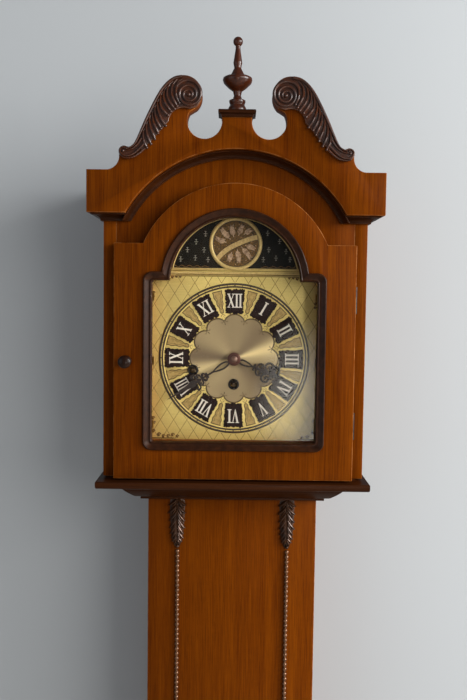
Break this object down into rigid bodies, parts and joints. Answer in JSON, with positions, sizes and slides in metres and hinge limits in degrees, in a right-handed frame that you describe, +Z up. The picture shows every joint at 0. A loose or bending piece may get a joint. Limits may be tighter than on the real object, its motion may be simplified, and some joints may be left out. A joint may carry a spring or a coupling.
{
  "type": "longcase clock",
  "caption": "Slim longcase clock with broken swan-neck pediment, arched glazed hood door, brass dial, trunk door and striking movement.",
  "frame": {"origin": "on the floor, in the middle of the clock's width and depth", "axes": "+Z up, -Y out of the dial towards the viewer, +X to the viewer's right"},
  "size_m": [0.432, 0.232, 1.9],
  "materials": {
    "veneer": "gloss",
    "moulding": "gloss",
    "pine": "matt",
    "brass": "polished",
    "gilt": "satin",
    "black": "gloss",
    "steel": "satin",
    "iron": "matt",
    "bronze": "satin",
    "glass": "polished"
  },
  "bodies": {
    "case": {"plinth_panels": "veneer", "trunk_carcase": "veneer", "hood_sides": "veneer", "hood_front": "veneer", "pediment": "veneer", "cornice_returns": "veneer", "finial_cap": "veneer", "skirting": "moulding", "plinth_moulding": "moulding", "bed_moulding": "moulding", "hood_base_moulding": "moulding", "cornice_cove": "moulding", "scroll_carvings": "moulding", "finial": "moulding", "plinth_boards": "pine", "back_board": "pine", "hood_base_board": "pine", "hood_roof": "pine", "seat_board": "pine", "hood_hinges_case": "brass", "trunk_hinges_case": "brass", "dial_roundel": "brass", "front_plate": "brass", "back_plate": "brass", "dial_plate": "gilt", "chapter_ring": "gilt", "dial_centre": "gilt", "numeral_plaques": "black", "chime_rods": "iron", "winding_collars": "bronze"},
    "hood_door": {"hood_door": "veneer", "door_bead": "moulding", "door_glass": "glass", "glass_clips": "brass", "hood_door_knob": "brass", "hood_hinges_door": "brass"},
    "trunk_door": {"trunk_door": "veneer", "leaf_drops": "moulding", "bead_strips": "moulding", "trunk_door_knob": "brass", "trunk_hinges_door": "brass"},
    "centre": {"centre_arbor": "brass", "minute_hand": "bronze", "hand_nut": "brass"},
    "hour": {"hour_wheel": "brass", "hour_hand": "bronze"},
    "minute_wheel": {"minute_wheel": "brass"},
    "third": {"third_wheel": "brass"},
    "escape": {"escape_wheel": "brass"},
    "going_barrel": {"going_barrel": "brass"},
    "strike_barrel": {"strike_barrel": "brass"},
    "chime_barrel": {"chime_barrel": "brass"},
    "going_winding": {"going_winding_arbor": "steel"},
    "strike_winding": {"strike_winding_arbor": "steel"},
    "chime_winding": {"chime_winding_arbor": "steel"},
    "anchor": {"anchor": "steel"},
    "pendulum": {"pendulum_rod": "pine", "pendulum_bob": "brass"},
    "rating_nut": {"rating_nut": "brass"},
    "hammers": {"hammers": "brass"}
  },
  "joints": [
    {"name": "hood_door_hinge", "type": "hinge", "parent": "case", "child": "hood_door", "pos_m": [0.1792, -0.0812, 1.43], "axis": [0, 0, 1], "range_deg": [0, 100]},
    {"name": "trunk_door_hinge", "type": "hinge", "parent": "case", "child": "trunk_door", "pos_m": [0.125, -0.027, 0.8], "axis": [0, 0, 1], "range_deg": [0, 90]},
    {"name": "minute_hand_turn", "type": "hinge", "parent": "case", "child": "centre", "pos_m": [0, 0, 1.434], "axis": [0, 1, 0], "continuous": true},
    {"name": "hour_hand_turn", "type": "hinge", "parent": "case", "child": "hour", "pos_m": [0, 0, 1.434], "axis": [0, 1, 0], "continuous": true},
    {"name": "minute_wheel_turn", "type": "hinge", "parent": "case", "child": "minute_wheel", "pos_m": [0.01273, 0, 1.44673], "axis": [0, 1, 0], "continuous": true},
    {"name": "third_wheel_turn", "type": "hinge", "parent": "case", "child": "third", "pos_m": [0.0154, 0, 1.46067], "axis": [0, 1, 0], "continuous": true},
    {"name": "escape_wheel_turn", "type": "hinge", "parent": "case", "child": "escape", "pos_m": [0, 0, 1.47882], "axis": [0, 1, 0], "continuous": true},
    {"name": "going_barrel_turn", "type": "hinge", "parent": "case", "child": "going_barrel", "pos_m": [0, 0, 1.395], "axis": [0, 1, 0], "continuous": true},
    {"name": "strike_barrel_turn", "type": "hinge", "parent": "case", "child": "strike_barrel", "pos_m": [-0.062, 0, 1.416], "axis": [0, 1, 0], "continuous": true},
    {"name": "chime_barrel_turn", "type": "hinge", "parent": "case", "child": "chime_barrel", "pos_m": [0.062, 0, 1.416], "axis": [0, 1, 0], "continuous": true},
    {"name": "going_winding_turn", "type": "hinge", "parent": "case", "child": "going_winding", "pos_m": [0, 0, 1.395], "axis": [0, 1, 0], "continuous": true},
    {"name": "strike_winding_turn", "type": "hinge", "parent": "case", "child": "strike_winding", "pos_m": [-0.062, 0, 1.416], "axis": [0, 1, 0], "continuous": true},
    {"name": "chime_winding_turn", "type": "hinge", "parent": "case", "child": "chime_winding", "pos_m": [0.062, 0, 1.416], "axis": [0, 1, 0], "continuous": true},
    {"name": "pendulum_swing", "type": "hinge", "parent": "case", "child": "pendulum", "pos_m": [0, 0, 1.50082], "axis": [0, 1, 0], "range_deg": [-2.5, 2.5]},
    {"name": "anchor_rock", "type": "hinge", "parent": "case", "child": "anchor", "pos_m": [0, 0, 1.50082], "axis": [0, 1, 0], "range_deg": [-2.5, 2.5]},
    {"name": "rating_nut_turn", "type": "hinge", "parent": "pendulum", "child": "rating_nut", "pos_m": [0, 0.014, 0.81], "axis": [0, 0, 1], "continuous": true},
    {"name": "hammer_lift", "type": "hinge", "parent": "case", "child": "hammers", "pos_m": [0, 0.008, 1.374], "axis": [1, 0, 0], "range_deg": [0, 12]}
  ],
  "couplings": [
    {"joint": "hour_hand_turn", "follows": "minute_hand_turn", "ratio": 0.083333},
    {"joint": "minute_wheel_turn", "follows": "minute_hand_turn", "ratio": -0.33333},
    {"joint": "third_wheel_turn", "follows": "minute_hand_turn", "ratio": -10},
    {"joint": "escape_wheel_turn", "follows": "minute_hand_turn", "ratio": 75},
    {"joint": "going_barrel_turn", "follows": "minute_hand_turn", "ratio": -0.125},
    {"joint": "anchor_rock", "follows": "pendulum_swing", "ratio": 1}
  ]
}
